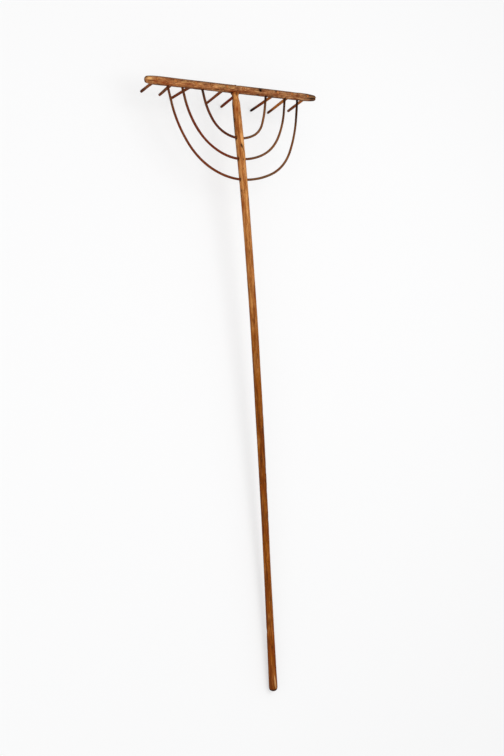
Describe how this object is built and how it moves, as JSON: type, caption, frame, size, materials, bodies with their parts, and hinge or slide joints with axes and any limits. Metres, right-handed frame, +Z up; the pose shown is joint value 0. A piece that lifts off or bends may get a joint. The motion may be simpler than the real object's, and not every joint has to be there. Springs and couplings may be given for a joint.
{
  "type": "wooden hand hay rake",
  "caption": "Long-handled wooden hay rake: a round head bar with peg teeth, braced by nested bent bows that run through the handle. Lies on its tooth tips and its butt.",
  "frame": {"origin": "on the floor, at the middle of the box round the whole rake as it lies", "axes": "+X along the head bar to its right end, +Y along the handle towards the head, +Z up, away from the tips of the teeth"},
  "size_m": [0.68, 1.9986, 0.1572],
  "materials": {
    "bar_wood": "weathered satin",
    "handle_wood": "worn smooth satin",
    "bow_wood": "dark weathered matt",
    "tooth_wood": "dark matt"
  },
  "bodies": {
    "root": {"head_bar": "bar_wood", "handle": "handle_wood", "bow_outer": "bow_wood", "bow_middle": "bow_wood", "bow_inner": "bow_wood", "tooth_01": "tooth_wood", "tooth_02": "tooth_wood", "tooth_03": "tooth_wood", "tooth_05": "tooth_wood", "tooth_06": "tooth_wood", "tooth_08": "tooth_wood", "tooth_09": "tooth_wood", "tooth_10": "tooth_wood", "tooth_stub": "tooth_wood"}
  },
  "joints": []
}
